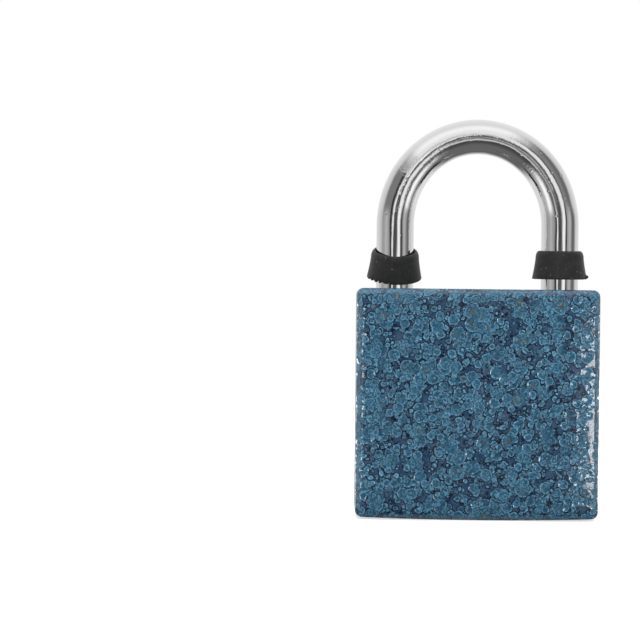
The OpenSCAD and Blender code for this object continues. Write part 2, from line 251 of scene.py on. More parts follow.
def ramp(tree, factor, stops):
    """A colour ramp from a list of (place, colour)."""
    made = node(tree, "ShaderNodeValToRGB", {0: factor})
    elements = made.color_ramp.elements
    while len(elements) < len(stops):
        elements.new(0.5)
    for element, (place, colour) in zip(elements, stops):
        element.position = place
        element.color = colour
    return made


def grey(light):
    """A neutral colour of that brightness."""
    return (light, light, light, 1.0)


def maths(tree, operation, *values):
    """A Math node's result from one, two or three values."""
    return node(tree, "ShaderNodeMath", dict(enumerate(values)), operation=operation).outputs[0]


def vector_maths(tree, operation, *vectors, gives="Vector"):
    """A Vector Math node's result from one, two or three vectors."""
    made = node(tree, "ShaderNodeVectorMath", dict(enumerate(vectors)), operation=operation)
    return made.outputs[gives]


def scaled(tree, vector, factor):
    """A vector or a colour times a number."""
    return node(tree, "ShaderNodeVectorMath", {0: vector, "Scale": factor}, operation="SCALE").outputs[0]


def mapped(tree, value, start, end, low=0.0, high=1.0, kind="LINEAR"):
    """Turns a value that goes from start to end into one that goes from low to high, held beyond them."""
    made = node(tree, "ShaderNodeMapRange", {0: value, 1: start, 2: end, 3: low, 4: high},
                interpolation_type=kind)
    return made.outputs[0]


def mixed(tree, share, first, second):
    """Two colours mixed: the first where share is 0, the second where it is 1."""
    return node(tree, "ShaderNodeMix", {0: share, 6: first, 7: second}, data_type="RGBA").outputs[2]


def noise(tree, at, scale, detail, gives="Fac"):
    """Cloudy noise from 0 to 1, with about scale clouds to a unit."""
    made = node(tree, "ShaderNodeTexNoise", {"Vector": at, "Scale": scale, "Detail": detail})
    return made.outputs[gives]


def bumped(tree, height, distance, under=None, invert=False):
    """The normal of a surface raised by height x distance, on top of the normal under it."""
    links = {"Height": height, "Distance": distance}
    if under is not None:
        links["Normal"] = under
    return node(tree, "ShaderNodeBump", links, invert=invert).outputs[0]


def finish(tree, settings):
    """Ends a material: one Principled shader with these settings."""
    shader = node(tree, "ShaderNodeBsdfPrincipled", settings)
    node(tree, "ShaderNodeOutputMaterial", {0: shader.outputs[0]})


def place_in_mm(tree):
    """Object coordinates in millimetres."""
    return scaled(tree, node(tree, "ShaderNodeTexCoord").outputs["Object"], 1000.0)


# Hammer finish: an aluminium-flake enamel with silicone in it, sprayed wet. It pulls into round cells,
# pale at the rim and teal inside, over a purple-navy ground, and dries with a glossy dish in each.
# The last colour is a painted highlight: a pale whitish colour mixed in over the rounded edges.
GROUND_NAVY, GROUND_PLUM, GROUND_DEEP, EDGE_PAINTED_HIGHLIGHT = "3A5A78", "4E607E", "2A4A6C", "8CA8BA"
CELL_OUTLINE, CELL_RIM, CELL_FILL, CELL_HEART, CELL_PIT = "001931", "6CA4C4", "346D8C", "2B6381", "55605C"
CELL_LAYERS = [      # spacing, smallest and largest radius, shift of the pattern, strength, dish (mm)
    (0.62, 0.10, 0.30, 73.0, 0.45, 0.003),
    (1.05, 0.28, 0.56, 41.0, 1.0, 0.045),
    (1.45, 0.42, 0.84, 17.0, 1.0, 0.085),
    (2.10, 0.55, 1.20, 3.0, 0.85, 0.135),
    (0.85, 0.22, 0.46, 97.0, 0.55, 0.005),
]
CROWD_SCALE, CROWD_GAIN, CROWD_MEAN = 0.43, 1.3, 0.645      # large cells gather, see round_cells
PULL_SCALE, PULL = 1.3, 0.5     # the wet film drags the cells a little out of round
CLOUD_SCALE = 0.42              # slow clouds in the ground's colour, the gloss and the film's thickness
TONE_SCALE, TONES = 2.8, (0.66, 1.36)       # quick unevenness in the cells' brightness
SHADES = (0.76, 1.15)           # each cell's own brightness, from the darkest to the palest
LINE_FADE = 0.22                # a new cell's dark line is this much weaker over cells already there
RIPPLE = 0.10                   # height of the film's slow ripple, mm
GLOSS = (0.30, 0.48)            # roughness, where the cloud is lowest and highest
HIGHLIGHT_WIDE, HIGHLIGHT_SHARE = 0.6, 0.28           # painted highlight round the rounded edges: how far in mm, how much pale colour


def round_cells(tree, at, spacing, smallest, largest, shift):
    """Cells about scattered points, and each one's random numbers. A cell's depth in mm is radius +
    spacing x (CROWD_GAIN x cloud - CROWD_MEAN) - distance, below 0 outside it. The cloud is read at the
    cell's own centre, so that large cells lie together and yet stay round."""
    moved = (shift, shift * 0.7, -shift)
    cells = node(tree, "ShaderNodeTexVoronoi",
                 {"Vector": vector_maths(tree, "ADD", at, moved), "Scale": 1 / spacing})
    luck = node(tree, "ShaderNodeSeparateColor", {0: cells.outputs["Color"]}).outputs
    centre = vector_maths(tree, "SUBTRACT", cells.outputs["Position"], moved)
    crowd = noise(tree, centre, CROWD_SCALE, 1.0)
    radius = mapped(tree, luck[0], 0.0, 1.0, smallest, largest)
    radius = maths(tree, "MULTIPLY_ADD", crowd, spacing * CROWD_GAIN, radius)
    radius = maths(tree, "SUBTRACT", radius, spacing * CROWD_MEAN)
    return maths(tree, "MULTIPLY_ADD", cells.outputs["Distance"], -spacing, radius), luck


def past_edge(tree, at):
    """How far round the block's nearest edge a place is, in mm: the middle one of its three distances
    beyond the block's core, which is above 0 only where two faces meet."""
    core = ((half_wide - side_round) / MM, (half_deep - edge_round) / MM,
            (body_tall / 2 - side_round) / MM)
    apart = vector_maths(tree, "SUBTRACT", at, (0, 0, body_tall / 2 / MM))
    apart = vector_maths(tree, "ABSOLUTE", apart)
    beyond = vector_maths(tree, "SUBTRACT", apart, core)
    x, y, z = node(tree, "ShaderNodeSeparateXYZ", {0: beyond}).outputs
    lesser = maths(tree, "MINIMUM", x, z)
    greater = maths(tree, "MAXIMUM", x, z)
    return maths(tree, "MAXIMUM", lesser, maths(tree, "MINIMUM", greater, y))


def hammer_paint():
    """Sets of round cells laid over each other on a clouded ground. Each cell has a pale rim, a tone of
    its own, and a dark line round it that is weaker over cells already there. In the gloss it is a
    shallow dish, dish x (1 - t^2) deep, where t is 1 at its rim and 0 half a spacing further in."""
    material, tree = new_material("hammer_finish_enamel")
    at = place_in_mm(tree)
    pull = vector_maths(tree, "SUBTRACT", noise(tree, at, PULL_SCALE, 1.0, gives="Color"), (0.5, 0.5, 0.5))
    pulled = vector_maths(tree, "MULTIPLY_ADD", pull, (PULL, PULL, PULL), at)
    cloud = noise(tree, at, CLOUD_SCALE, 3.0)
    colour = ramp(tree, cloud, [
        (0.32, linear(GROUND_DEEP)), (0.46, linear(GROUND_NAVY)), (0.60, linear(GROUND_PLUM)),
    ]).outputs[0]
    uneven = mapped(tree, noise(tree, at, TONE_SCALE, 1.0), 0.3, 0.7, *TONES)
    laid = None
    for spacing, smallest, largest, shift, strength, dish in CELL_LAYERS:
        depth, luck = round_cells(tree, pulled, spacing, smallest, largest, shift)
        line = ramp(tree, mapped(tree, depth, -0.25, 0.15), [
            (0.20, grey(0)), (0.42, grey(0.95)), (0.62, grey(1)), (0.76, grey(0)),
        ]).outputs[0]
        if laid is not None:
            line = maths(tree, "MULTIPLY", line, maths(tree, "MULTIPLY_ADD", laid, -LINE_FADE, 1.0))
        line = maths(tree, "MULTIPLY", line, strength)
        colour = mixed(tree, line, colour, linear(CELL_OUTLINE))
        drawn = ramp(tree, mapped(tree, depth, 0.0, 1.0), [
            (0.01, linear(CELL_RIM, 0.0)), (0.055, linear(CELL_RIM)), (0.12, linear(CELL_RIM)),
            (0.21, linear(CELL_FILL)), (0.50, linear(CELL_HEART)), (0.74, linear(CELL_FILL)),
            (0.90, linear(CELL_PIT)),
        ])
        shade = maths(tree, "MULTIPLY", mapped(tree, luck[1], 0.0, 1.0, *SHADES), uneven)
        cover = maths(tree, "MULTIPLY", drawn.outputs[1], strength)
        colour = mixed(tree, cover, colour, scaled(tree, drawn.outputs[0], shade))
        covered = mapped(tree, depth, -0.10, 0.42, kind="SMOOTHSTEP")
        t = mapped(tree, depth, 0.0, spacing / 2, 1.0, 0.0)
        level = maths(tree, "MULTIPLY_ADD", maths(tree, "POWER", t, 2.0), dish, -dish)
        if laid is None:
            laid, dished = covered, level
        else:
            laid = maths(tree, "MAXIMUM", laid, covered)
            dished = maths(tree, "MINIMUM", dished, level)
    # Painted highlight: a pale whitish colour mixed in over the block's rounded edges, standing in for light
    # caught there.
    painted_edge_highlight = mapped(tree, past_edge(tree, at), 0.0, HIGHLIGHT_WIDE, 0.0, HIGHLIGHT_SHARE, kind="SMOOTHSTEP")
    colour = mixed(tree, painted_edge_highlight, colour, linear(EDGE_PAINTED_HIGHLIGHT))
    relief = maths(tree, "MULTIPLY_ADD", noise(tree, at, CLOUD_SCALE, 1.0), RIPPLE, dished)
    skin = bumped(tree, relief, MM)
    finish(tree, {
        "Base Color": colour, "Roughness": mapped(tree, cloud, 0.0, 1.0, *GLOSS), "IOR": 1.5,
        "Specular IOR Level": 0.08, "Normal": skin, "Coat Normal": skin, "Coat Weight": 0.5,
        "Coat Roughness": 0.10, "Coat IOR": 1.5,
    })
    return material


body_casting = cast_body()
body_casting.data.materials.append(hammer_paint())
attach(body_casting, "case")
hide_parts("body")

# ---------------------------------------------------------------------------------------------
# Plug and inner brass: the plug is turned from brass bar, with its keyway broached and its face
# left bright; pins, bolt and chamber plugs are turned from the same bar.
# ---------------------------------------------------------------------------------------------
# The near black painted as shade deep in the plug's keyway.
KEYWAY_PAINTED_SHADE = "15130F"
WAVES = 3.2                     # a Wave texture's rings in one unit, at scale 1


def turned_metal(name, code, worn_code, axis, ring_mm, roughness, broached=None):
    """Bar metal cut on a lathe: fine rings round its axis, bright, with darker handling stains. Inside the
    radius broached, the colour is painted nearly black as shade, from just behind the face to the keyway's
    end."""
    material, tree = new_material(name)
    at = place_in_mm(tree)
    stain = noise(tree, at, 0.7, 4.0)
    colour = ramp(tree, stain, [(0.35, linear(code)), (0.75, linear(worn_code))]).outputs[0]
    if broached:
        across = vector_maths(tree, "MULTIPLY", at, (1, 1, 0))
        off_axis = vector_maths(tree, "LENGTH", across, gives="Value")
        inside = maths(tree, "LESS_THAN", off_axis, broached / MM)
        height = node(tree, "ShaderNodeSeparateXYZ", {0: at}).outputs[2]
        # Painted shade: nearly black from just behind the keyway's mouth to its end, where little light gets
        # in.
        black = ramp(tree, mapped(tree, height, 0.0, plug_bore_z / MM), [
            (0.012, grey(0)), (0.03, grey(0.94)), (0.75, grey(0.94)), (0.80, grey(0)),
        ]).outputs[0]
        colour = mixed(tree, maths(tree, "MULTIPLY", black, inside), colour, linear(KEYWAY_PAINTED_SHADE))
    rings = node(tree, "ShaderNodeTexWave", {
        "Vector": at, "Scale": 1 / ring_mm / WAVES, "Distortion": 0.6, "Detail": 2.0,
    }, wave_type="RINGS", rings_direction=axis)
    finish(tree, {
        "Base Color": colour, "Metallic": 1.0,
        "Roughness": mapped(tree, stain, 0.0, 1.0, roughness * 0.8, roughness * 1.4),
        "Normal": bumped(tree, rings.outputs["Fac"], 0.004 * MM),
    })
    return material


def dress(names, material):
    """Gives CAD nodes a finish through their own material slots."""
    for name in names:
        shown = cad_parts[name]
        if not shown.material_slots:
            shown.data.materials.append(material)
        for place in shown.material_slots:
            place.material = material


dress(["plug"], turned_metal("turned_brass_plug", "D9B56B", "9C7A3C", "Z", 0.35, 0.24, broached=4.8 * MM))
stacks = range(1, 6)
dress([f"{kind}_{i}" for kind in ("key_pin", "driver_pin", "chamber_plug") for i in stacks]
      + ["bolt", "bolt_channel_plug"],
      turned_metal("turned_brass_small_parts", "CFA85C", "8E6C34", "X", 0.30, 0.28))

# ---------------------------------------------------------------------------------------------
# Steel pins: ground steel wire cut to length, pressed or dropped in from the back and the top.
# ---------------------------------------------------------------------------------------------
dress(["cam_pin"], turned_metal("ground_steel_upright", "B9BBBE", "6E6F72", "Z", 0.25, 0.25))
dress(["plug_retaining_pin", "heel_retaining_pin"],
      turned_metal("ground_steel_crosswise", "B4B6B9", "6A6B6E", "Y", 0.25, 0.27))

# ---------------------------------------------------------------------------------------------
# Springs: hard-drawn steel wire wound cold, with the grey sheen and fine length marks of the die.
# Each stands on a fixed seat in the body against the piece that it pushes, wound where it sits at rest.
# ---------------------------------------------------------------------------------------------
def wound_spring(node_name, upright, wire, turns):
    """A round wire wound on a cylinder. Its middle is at (R cos t, R sin t) and climbs evenly with t; the
    section is a circle of the wire's radius, which closes to a point at both ends."""
    steps_turn, steps_section = 24, 12
    low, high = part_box(node_name)
    wire_r = wire / 2
    outer_r = (high.x - low.x) / 2 if upright else (high.z - low.z) / 2
    length = high.z - low.z if upright else high.x - low.x
    share = np.linspace(0, 1, turns * steps_turn + 1)
    share = np.concatenate([share[:1], share, share[-1:]])[:, None]
    thick = np.full(share.shape, wire_r)
    thick[0], thick[-1] = 0, 0
    section = np.linspace(0, 2 * math.pi, steps_section + 1)
    r = outer_r - wire_r + thick * np.cos(section)
    along = wire_r + (length - wire) * share + thick * np.sin(section)
    turn = 2 * math.pi * turns * share
    if upright:
        grid = [(low.x + high.x) / 2 + r * np.cos(turn), r * np.sin(turn), low.z + along]
    else:
        grid = [low.x + along, r * np.sin(turn), (low.z + high.z) / 2 - r * np.cos(turn)]
    return surface(f"{node_name}_wire", [np.stack(grid, -1)])


drawn_crosswise = turned_metal("drawn_spring_wire_crosswise", "A9ABAF", "5E6064", "X", 0.40, 0.33)
drawn_upright = turned_metal("drawn_spring_wire_upright", "A9ABAF", "5E6064", "Z", 0.40, 0.33)
# node, the piece that it pushes, wire, turns
springs = [(f"pin_spring_{i}", f"driver_pin_{i}", 0.3 * MM, 6) for i in stacks]
springs += [("bolt_spring", "bolt", 0.4 * MM, 8), ("shackle_spring", "shackle", 0.6 * MM, 8)]
for node_name, pushed, wire, turns in springs:
    upright = pushed == "shackle"
    wound = wound_spring(node_name, upright, wire, turns)
    wound.data.materials.append(drawn_upright if upright else drawn_crosswise)
    seat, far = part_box(node_name)
    if node_name.startswith("pin"):      # these push to the left, from the chamber plugs
        seat, far = far, seat
    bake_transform(wound)
    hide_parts(node_name)

# ---------------------------------------------------------------------------------------------
# Shackle: 6.2 mm steel rod, bent to a half round, its toe notched for the bolt and its heel turned
# down to a neck; then polished and chromed, so it mirrors the studio in long bright and dark bands.
# ---------------------------------------------------------------------------------------------
shackle_low, shackle_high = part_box("shackle")
arch_r = leg_x
crown_flat = 0.066              # the bender squeezes the rod by this share at the crown
crown_clear = 0.01 * MM         # the crown stays this much under the full height
bend_start = 0.8 * MM           # the bend starts this much below the centre of its half circle
arch_z = shackle_high.z - rod_r - arch_r - bend_start
arch_h = shackle_high.z - rod_r * (1 - crown_flat) - arch_z - crown_clear
toe_z = 30.3 * MM
toe_leg = arch_z - toe_z
heel_z = shackle_low.z
rod_length = 2 * toe_leg + math.pi * arch_r + toe_z - heel_z
end_chamfer = 0.8 * MM
neck_r = 2.1 * MM
neck_from, neck_to = 20.0 * MM, 30.3 * MM          # heights on the heel leg
notch_from, notch_to = 32.2 * MM, 36.05 * MM       # heights on the toe leg
notch_flat_x = 11.9 * MM


def rod_path(s):
    """Middle line and outward direction at length s from the toe's end: straight up, then
    x = R cos a, z = H sin a round the arch's centre, then straight down to the heel's end."""
    bend = math.pi * arch_r
    turn = np.clip((s - toe_leg) / arch_r, 0, math.pi)
    beyond = np.maximum(s - toe_leg - bend, 0)
    below = np.maximum(toe_leg - s, 0)
    middle = np.stack([arch_r * np.cos(turn), arch_z + arch_h * np.sin(turn) - beyond - below], -1)
    outward = np.stack([arch_h * np.cos(turn), arch_r * np.sin(turn)], -1)
    return middle, outward / np.linalg.norm(outward, axis=-1, keepdims=True), turn


def straightened(place):
    """The inverse of rod_path in millimetres: length along the rod, then the two distances from its
    middle line, so that marks and waves follow the bend."""
    x, y, z = place[:, 0], place[:, 1], place[:, 2]
    up = np.maximum(z - arch_z, 0) * arch_r / arch_h
    turn = np.arctan2(up, x)
    straight = z < arch_z
    length = toe_leg + turn * arch_r
    length = np.where(straight & (x > 0), z - toe_z, length)
    length = np.where(straight & (x <= 0), toe_leg + math.pi * arch_r + arch_z - z, length)
    outward = np.where(straight, np.abs(x) - arch_r, np.hypot(x, up) - arch_r)
    return np.stack([length, outward, y], 1) / MM


def from_heel(z):
    """Length along the rod at height z of the heel leg."""
    return rod_length - (z - heel_z)


def bent_rod():
    """Rings of radius r(s) along rod_path, flattened in the plane of the bend by crown_flat x sin^2 of
    the turn. In the notch the ring is cut by the plane x = notch_flat_x."""
    steps_round = 96
    notch_s, notch_end_s = notch_from - toe_z, notch_to - toe_z
    neck_s, neck_end_s = from_heel(neck_to), from_heel(neck_from)
    end_r = rod_r - end_chamfer
    # length along the rod, radius, 1 in the notch
    stations = [(0.0, 0.0, 0), (0.0, end_r, 0), (end_chamfer, rod_r, 0)]
    stations += [(s, rod_r, 0) for s in np.linspace(end_chamfer, notch_s, 3)[1:]]
    stations += [(s, rod_r, 1) for s in np.linspace(notch_s, notch_end_s, 5)]
    stations += [(s, rod_r, 0) for s in np.linspace(notch_end_s, neck_s, 220)]
    stations += [(s, neck_r, 0) for s in np.linspace(neck_s, neck_end_s, 9)]
    stations += [(s, rod_r, 0) for s in np.linspace(neck_end_s, from_heel(heel_z + end_chamfer), 4)]
    stations += [(rod_length, end_r, 0), (rod_length, 0.0, 0)]
    length, radius, notched = np.array(stations).T[:, :, None]
    middle, outward, turn = rod_path(length[:, 0])
    around = np.linspace(0, 2 * math.pi, steps_round + 1)
    flat = 1 - crown_flat * np.sin(turn) ** 2
    out = radius * flat[:, None] * np.cos(around)
    x = middle[:, :1] + out * outward[:, :1]
    z = middle[:, 1:] + out * outward[:, 1:]
    y = radius * np.sin(around)
    x = np.where((notched > 0) & (x < notch_flat_x), notch_flat_x, x)
    piece = surface("shackle_rod", [np.stack([x, y, z], -1)], sharp=0.5)
    place = np.zeros(len(piece.data.vertices) * 3)
    piece.data.vertices.foreach_get("co", place)
    straight = piece.data.attributes.new("straight_rod", "FLOAT_VECTOR", "POINT")
    straight.data.foreach_set("vector", straightened(place.reshape(-1, 3)).ravel())
    return piece


# How strongly the bender's shoe creased the rod, at lengths in mm from the toe's end.
BENDER_MARKS = [(17, 0), (24, .40), (36, .55), (42, 1), (54, 1), (59, .30), (64, 0)]


def chrome_plate():
    """Bright nickel and chrome over ground steel: a near mirror, faintly wavy along the rod, with
    grinding lines left under the plate and dents and scuffs where the bender gripped it."""
    material, tree = new_material("bright_chrome_plate")
    rod = node(tree, "ShaderNodeAttribute", attribute_name="straight_rod").outputs["Vector"]

    def drawn_noise(along, across, detail):
        """Noise with its own number of clouds to a millimetre along the rod and across it."""
        return noise(tree, vector_maths(tree, "MULTIPLY", rod, (along, across, across)), 1.0, detail)

    waves = drawn_noise(0.10, 0.9, 1.0)
    lines = drawn_noise(0.55, 5.0, 2.0)
    dents = node(tree, "ShaderNodeTexVoronoi", {"Vector": rod, "Scale": 0.9})
    luck = node(tree, "ShaderNodeSeparateColor", {0: dents.outputs["Color"]}).outputs[0]
    dent = mapped(tree, dents.outputs["Distance"], 0.05, 0.22, 1.0, 0.0)
    dented = maths(tree, "MULTIPLY", dent, maths(tree, "GREATER_THAN", luck, 0.72))
    length = node(tree, "ShaderNodeSeparateXYZ", {0: rod}).outputs[0]
    gripped = ramp(tree, mapped(tree, length, 0.0, rod_length / MM),
                   [(at * MM / rod_length, grey(share)) for at, share in BENDER_MARKS]).outputs[0]
    patches = mapped(tree, noise(tree, rod, 0.35, 1.0), 0.38, 0.58)
    creased = maths(tree, "MULTIPLY", drawn_noise(2.6, 1.9, 2.0), maths(tree, "MULTIPLY", gripped, patches))
    plate = bumped(tree, waves, 0.035 * MM)
    plate = bumped(tree, lines, 0.0035 * MM, plate)
    plate = bumped(tree, dented, 0.02 * MM, plate, invert=True)
    plate = bumped(tree, creased, 0.034 * MM, plate)
    finish(tree, {
        "Base Color": linear("F2F2F3"), "Metallic": 1.0, "Normal": plate,
        "Roughness": mapped(tree, lines, 0.3, 0.8, 0.02, 0.07),
    })
    return material


shackle_rod = bent_rod()
shackle_rod.data.materials.append(chrome_plate())
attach(shackle_rod, "shackle")
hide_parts("shackle")

# ---------------------------------------------------------------------------------------------
# Collars: two black rubber sleeves moulded in one cavity form, slipped over the legs from below.
# The left one leans to the front on its slack bore; both keep crumbs of flash at the lip.
# ---------------------------------------------------------------------------------------------
collar_h = 4.7 * MM
collar_top_r, collar_lip_r = 4.0 * MM, 4.55 * MM
collar_bore_top, collar_bore_lip = 3.30 * MM, 4.19 * MM
collar_pivot = 0.7 * collar_h
left_lean, left_roll = math.radians(16.2), math.radians(1.2)
right_lean = math.radians(1.2)
left_stretch = 0.12             # the leaning bore's mouth is pulled oval by this share, front to back
left_gap = 0.35 * MM            # from the body to the lowest point of the leaning lip
right_collar_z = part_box("collar_right")[0].z
# Notches in the left lip as (angle, width, depth), and the flash on each lip as (angle, width, reach):
# angles in degrees round the leg, anticlockwise from the right as seen from above, the rest in mm.
LEFT_CRUMBS = [(218, 4, 0.22), (231, 3, 0.30), (243, 4, 0.26), (256, 3, 0.20), (204, 4, 0.15)]
LEFT_TIP = (206, 5, 0.05)
RIGHT_CRUMBS = [(20, 9, 0.10), (160, 9, 0.04)]
RIGHT_TIP = (345, 6, 0.38)


def collar_profile():
    """Radius and height round the rubber's section, closed: up the outside, which runs out to the lip,
    over the rounded shoulder, down the belled bore and round the lip's edge."""
    shoulder = 1.15 * MM
    lip_round = 0.18 * MM
    mouth_edge, mouth_depth, mouth_land = 0.02 * MM, 0.14 * MM, 0.08 * MM
    over_in = collar_top_r - collar_bore_top - mouth_land
    up = np.linspace(0, 1, 22)
    side_r = collar_top_r + (collar_lip_r - collar_top_r) * (1 - up) ** 1.3
    side_z = lip_round + (collar_h - lip_round - shoulder) * up
    over = np.linspace(0, math.pi / 2, 9)[1:]
    over_r = collar_top_r - over_in * (1 - np.cos(over))
    over_z = collar_h - shoulder * (1 - np.sin(over))
    mouth_r = [collar_bore_top + mouth_edge, collar_bore_top]
    mouth_z = [collar_h - mouth_edge, collar_h - mouth_depth]
    down = np.linspace(0, 1, 10)[1:]
    bore = collar_bore_top + (collar_bore_lip - collar_bore_top) * down ** 1.4
    bore_z = (collar_h - mouth_depth) * (1 - down)
    lip = np.linspace(0, math.pi / 2, 5)
    lip_edge_r = collar_lip_r - lip_round * (1 - np.sin(lip))
    lip_edge_z = lip_round * (1 - np.cos(lip))
    radius = np.concatenate([side_r, over_r, mouth_r, bore, lip_edge_r])
    height = np.concatenate([side_z, over_z, mouth_z, bore_z, lip_edge_z])
    return radius, height


def lip_mark(around, angle, wide, power):
    """1 at one angle round the lip, falling off to both sides by exp(-(distance / width)^power)."""
    away = np.abs((around - math.radians(angle) + math.pi) % (2 * math.pi) - math.pi)
    return np.exp(-(away / math.radians(wide)) ** power)


def moulded_collar(name, place, lean, roll, stretch, crumbs, tip):
    """The profile turned about the leg, with notches and flash at the lip, its bore's top pulled oval by
    stretch; then leaned forward and rolled sideways about its pivot by rotations in y-z and x-z."""
    steps_round = 144
    lip_from, lip_to = 0.25 * MM, 0.9 * MM      # notches and flash fade out between these heights
    spur_rise = 0.25 * MM
    radius, height = collar_profile()
    around = np.linspace(0, 2 * math.pi, steps_round + 1)
    r = np.broadcast_to(radius[:, None], (len(radius), len(around))).copy()
    z = np.broadcast_to(height[:, None], r.shape).copy()
    at_lip = 1 - smooth_step(z, lip_from, lip_to)
    outside = smooth_step(r, collar_bore_lip - 0.05 * MM, collar_lip_r - 0.1 * MM)
    for angle, wide, deep in crumbs:
        bite = lip_mark(around, angle, wide, 4)
        z = z + deep * MM * bite * at_lip * (1 - z / collar_h)
        r = r - 0.5 * deep * MM * bite * at_lip * outside
    angle, wide, reach = tip
    spur = lip_mark(around, angle, wide, 2)
    r = r + reach * MM * spur * at_lip * outside
    z = z + spur_rise * spur * at_lip
    x, y = r * np.cos(around), r * np.sin(around) * (1 + stretch * np.clip(z / collar_h, 0, 1))
    z = z - collar_pivot
    y, z = y * math.cos(lean) - z * math.sin(lean), y * math.sin(lean) + z * math.cos(lean)
    x, z = x * math.cos(roll) + z * math.sin(roll), -x * math.sin(roll) + z * math.cos(roll)
    grid = np.stack([x, y, z + collar_pivot], -1) + np.array(place)
    grid = np.concatenate([grid, grid[:1]])
    return surface(name, [grid], sharp=0.9)


def moulded_rubber():
    """Carbon-black rubber straight from the mould: charcoal, nearly matt, with a leathery skin that is a
    little paler where seen edge-on, and a few specks of dust."""
    material, tree = new_material("moulded_black_rubber")
    at = place_in_mm(tree)
    tone = noise(tree, at, 1.1, 3.0)
    black = ramp(tree, tone, [(0.3, linear("272727")), (0.7, linear("343434"))]).outputs[0]
    specks = node(tree, "ShaderNodeTexVoronoi", {"Vector": at, "Scale": 1.5})
    luck = node(tree, "ShaderNodeSeparateColor", {0: specks.outputs["Color"]}).outputs[1]
    speck = mapped(tree, specks.outputs["Distance"], 0.10, 0.20, 0.75, 0.0)
    dusty = maths(tree, "MULTIPLY", speck, maths(tree, "GREATER_THAN", luck, 0.86))
    finish(tree, {
        "Base Color": mixed(tree, dusty, black, linear("8E8C88")), "Roughness": 0.62,
        "Specular IOR Level": 0.35, "Sheen Weight": 0.15, "Sheen Roughness": 0.4,
        "Normal": bumped(tree, noise(tree, at, 4.5, 3.0), 0.03 * MM),
    })
    return material


rubber = moulded_rubber()
left_tilt = math.acos(math.cos(left_lean) * math.cos(left_roll))
left_collar_z = body_tall + left_gap + collar_lip_r * math.sin(left_tilt)
collar_left_sleeve = moulded_collar(
    "collar_left_sleeve", (-leg_x, 0, left_collar_z), left_lean, left_roll, left_stretch,
    LEFT_CRUMBS, LEFT_TIP)
right_collar_z += collar_lip_r * math.sin(right_lean)
collar_right_sleeve = moulded_collar(
    "collar_right_sleeve", (leg_x, 0, right_collar_z), right_lean, 0.0, 0.0, RIGHT_CRUMBS, RIGHT_TIP)
for sleeve, side in ((collar_left_sleeve, "left"), (collar_right_sleeve, "right")):
    sleeve.data.materials.append(rubber)
    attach(sleeve, f"collar_{side}")
    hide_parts(f"collar_{side}")

# ---------------------------------------------------------------------------------------------
# Studio: a plain pale floor, a long lens a little above and to the left of the lock, soft lamps from
# the front, the back and above, and four narrow strips that only the paint's gloss sees. The strips
# stand below the floor and shine through it. The metal mirrors a white room with dark flags.
# ---------------------------------------------------------------------------------------------
camera_data = bpy.data.cameras.new("camera")
camera_data.lens = 185.9
camera_data.sensor_width = 36.0
camera_data.clip_start, camera_data.clip_end = 0.01, 20.0
camera = bpy.data.objects.new("camera", camera_data)
bpy.context.scene.collection.objects.link(camera)
bpy.context.scene.camera = camera
aim = Vector((-26.05 * MM, 0.0, 32.57 * MM))
camera_far = 0.55
camera_rise = math.radians(0.5)
camera_roll = math.radians(0.62)
to_camera = Vector((0.0, -math.cos(camera_rise), math.sin(camera_rise)))
camera.location = aim + camera_far * to_camera
camera.rotation_euler = to_camera.to_track_quat("Z", "Y").to_euler()
camera.rotation_euler.rotate_axis("Z", camera_roll)

floor_mesh = bpy.data.meshes.new("floor")
reach = 3.0
floor_mesh.from_pydata([(-reach, -reach, 0), (reach, -reach, 0), (reach, reach, 0), (-reach, reach, 0)],
                       [], [(0, 1, 2, 3)])
floor = bpy.data.objects.new("floor", floor_mesh)
bpy.context.scene.collection.objects.link(floor)
floor.visible_glossy = False
floor.visible_shadow = False
pale, tree = new_material("pale_floor_paper")
path = node(tree, "ShaderNodeLightPath")
paper = node(tree, "ShaderNodeBsdfDiffuse", {"Color": linear("E6E6E6")})
lift = node(tree, "ShaderNodeEmission", {"Color": linear("FFFFFF"), "Strength": 0.62})
lifted = node(tree, "ShaderNodeAddShader", {0: paper.outputs[0], 1: lift.outputs[0]})
seen = node(tree, "ShaderNodeMixShader",
            {0: path.outputs["Is Camera Ray"], 1: paper.outputs[0], 2: lifted.outputs[0]})
node(tree, "ShaderNodeOutputMaterial", {0: seen.outputs[0]})
floor_mesh.materials.append(pale)

# What the polished metal mirrors: a white room with a bright opening round the dark lens, black gaps
# beside it, grey walls and a dark table. Each list goes outwards from the lens one way, as (degrees
# away from the lens, brightness). The values weren't chosen freely: they were typed from a table of
# measured reflections, thinned and rounded, and that is an open fault.
RIGHT_HIGH = [(0, .08), (9, .15), (13, .3), (15, .85), (30, .85), (35, .2), (38, .07), (46, .25),
              (80, .13), (88, .22), (94, .5), (100, .62), (125, .74), (160, .85)]
RIGHT_LEVEL = [(0, .05), (10, .1), (14, .4), (19, .95), (30, .95), (34, .2), (37, .05), (42, .07), (47, .33),
               (63, .5), (72, .33), (80, .15), (94, .14), (104, .4), (112, .65), (160, .82)]
RIGHT_LOW = [(0, .06), (9, .15), (13, .5), (19, .87), (27, .93), (33, .55), (38, .12), (44, .15), (52, .8),
             (58, 1.07), (67, 1.05), (78, .4), (84, .17), (90, .27), (98, .65), (112, .8), (160, .8)]
LEFT_HIGH = [(0, .04), (6, .06), (9, .35), (12, .9), (17, .85), (20, .3), (24, .04), (31, .04), (37, .2),
             (76, .2), (84, .28), (92, .56), (100, .65), (125, .74), (160, .85)]
LEFT_LEVEL = [(0, .04), (10, .12), (12, .85), (17, .9), (19, .25), (22, .03), (29, .05), (36, .3), (50, .42),
              (58, .5), (68, .37), (84, .33), (92, .5), (103, .6), (120, .7), (160, .78)]
